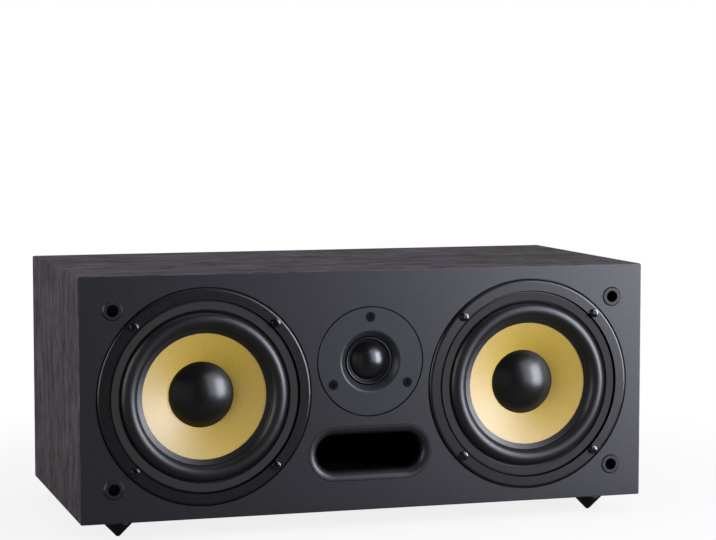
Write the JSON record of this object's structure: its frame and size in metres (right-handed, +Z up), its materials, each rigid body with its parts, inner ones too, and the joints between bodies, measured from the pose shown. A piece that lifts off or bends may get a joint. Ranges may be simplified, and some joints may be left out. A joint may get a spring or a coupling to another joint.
{
  "type": "center channel speaker",
  "caption": "Two-way center channel loudspeaker: woofers with yellow woven cones beside a dome tweeter over a slot bass port, in a dark wood-grain box on cone feet.",
  "frame": {"origin": "on the floor under the middle of the whole speaker, level with the tips of the feet", "axes": "+X to the right of a listener facing the baffle, +Y from the baffle to the rear, +Z up"},
  "size_m": [0.42, 0.2134, 0.1864],
  "materials": {
    "vinyl_wood": "black-ash wood-grain foil",
    "baffle_paint": "fine-textured satin paint",
    "black_plastic": "satin moulded",
    "foot_metal": "satin black",
    "brass": "plain turned",
    "basket_metal": "cast and painted satin grey",
    "trim_plastic": "satin moulded",
    "surround_rubber": "smooth moulded rubber",
    "woven_cone": "woven and resin-set",
    "cap_plastic": "satin",
    "coil_copper": "enamelled winding",
    "spider_cloth": "corrugated cloth",
    "motor_steel": "zinc-plated",
    "ferrite": "ground ferrite",
    "terminal_strip": "pressed board with tinned tabs",
    "screw_black": "black oxide",
    "dome_fabric": "coated soft dome",
    "dome_roll": "coated cloth",
    "knob_red": "translucent moulded",
    "knob_black": "moulded",
    "circuit_board": "laminate",
    "capacitor_film": "wrapped film",
    "resistor_ceramic": "cement",
    "lead_sheath": "soft sheath",
    "damping_felt": "needled felt"
  },
  "bodies": {
    "cabinet": {"cabinet_wrap": "vinyl_wood", "rear_panel": "vinyl_wood", "front_baffle": "baffle_paint", "port_tube": "black_plastic", "grille_sockets": "black_plastic", "terminal_cup": "black_plastic", "tweeter_faceplate": "black_plastic", "foot_front_left": "foot_metal", "foot_front_right": "foot_metal", "foot_rear_left": "foot_metal", "foot_rear_right": "foot_metal", "foot_inserts": "brass", "post_nuts": "brass", "post_red_stud": "brass", "post_black_stud": "brass", "woofer_left_basket": "basket_metal", "woofer_right_basket": "basket_metal", "woofer_left_trim_ring": "trim_plastic", "woofer_right_trim_ring": "trim_plastic", "woofer_left_surround": "surround_rubber", "woofer_right_surround": "surround_rubber", "woofer_inductor": "coil_copper", "tweeter_inductor": "coil_copper", "woofer_left_spider": "spider_cloth", "woofer_right_spider": "spider_cloth", "woofer_left_top_plate": "motor_steel", "woofer_right_top_plate": "motor_steel", "woofer_left_yoke": "motor_steel", "woofer_right_yoke": "motor_steel", "tweeter_top_plate": "motor_steel", "tweeter_yoke": "motor_steel", "woofer_left_magnet": "ferrite", "woofer_right_magnet": "ferrite", "tweeter_magnet": "ferrite", "woofer_left_terminals": "terminal_strip", "woofer_right_terminals": "terminal_strip", "tweeter_terminals": "terminal_strip", "woofer_left_screws": "screw_black", "woofer_right_screws": "screw_black", "tweeter_screws": "screw_black", "terminal_cup_screws": "screw_black", "crossover_fixings": "screw_black", "tweeter_surround": "dome_roll", "crossover_board": "circuit_board", "crossover_capacitors": "capacitor_film", "crossover_resistor": "resistor_ceramic", "internal_leads": "lead_sheath", "damping_pads": "damping_felt"},
    "woofer_left_diaphragm": {"woofer_left_cone": "woven_cone", "woofer_left_dust_cap": "cap_plastic", "woofer_left_voice_coil": "coil_copper"},
    "woofer_right_diaphragm": {"woofer_right_cone": "woven_cone", "woofer_right_dust_cap": "cap_plastic", "woofer_right_voice_coil": "coil_copper"},
    "tweeter_diaphragm": {"tweeter_dome": "dome_fabric", "tweeter_voice_coil": "coil_copper"},
    "red_clamp": {"post_red_collar": "brass"},
    "red_knob": {"post_red_knob": "knob_red"},
    "black_clamp": {"post_black_collar": "brass"},
    "black_knob": {"post_black_knob": "knob_black"}
  },
  "joints": [
    {"name": "woofer_left_travel", "type": "slide", "parent": "cabinet", "child": "woofer_left_diaphragm", "axis": [0, 1, 0], "range_m": [-0.004, 0.004], "stiffness_N_per_m": 900, "deforming": ["woofer_left_surround", "woofer_left_spider"]},
    {"name": "woofer_right_travel", "type": "slide", "parent": "cabinet", "child": "woofer_right_diaphragm", "axis": [0, 1, 0], "range_m": [-0.004, 0.004], "stiffness_N_per_m": 900, "deforming": ["woofer_right_surround", "woofer_right_spider"]},
    {"name": "tweeter_travel", "type": "slide", "parent": "cabinet", "child": "tweeter_diaphragm", "axis": [0, 1, 0], "range_m": [-0.0004, 0.0004], "stiffness_N_per_m": 1000, "deforming": ["tweeter_surround"]},
    {"name": "red_clamp_travel", "type": "slide", "parent": "cabinet", "child": "red_clamp", "axis": [0, 1, 0], "range_m": [0, 0.005]},
    {"name": "red_knob_turn", "type": "hinge", "parent": "red_clamp", "child": "red_knob", "pos_m": [0.0095, 0.09, 0.1], "axis": [0, 1, 0], "range_deg": [0, 1810]},
    {"name": "black_clamp_travel", "type": "slide", "parent": "cabinet", "child": "black_clamp", "axis": [0, 1, 0], "range_m": [0, 0.005]},
    {"name": "black_knob_turn", "type": "hinge", "parent": "black_clamp", "child": "black_knob", "pos_m": [-0.0095, 0.09, 0.1], "axis": [0, 1, 0], "range_deg": [0, 1810]}
  ],
  "couplings": [
    {"joint": "red_knob_turn", "follows": "red_clamp_travel", "rad_per_m": 6283.2},
    {"joint": "black_knob_turn", "follows": "black_clamp_travel", "rad_per_m": 6283.2}
  ]
}
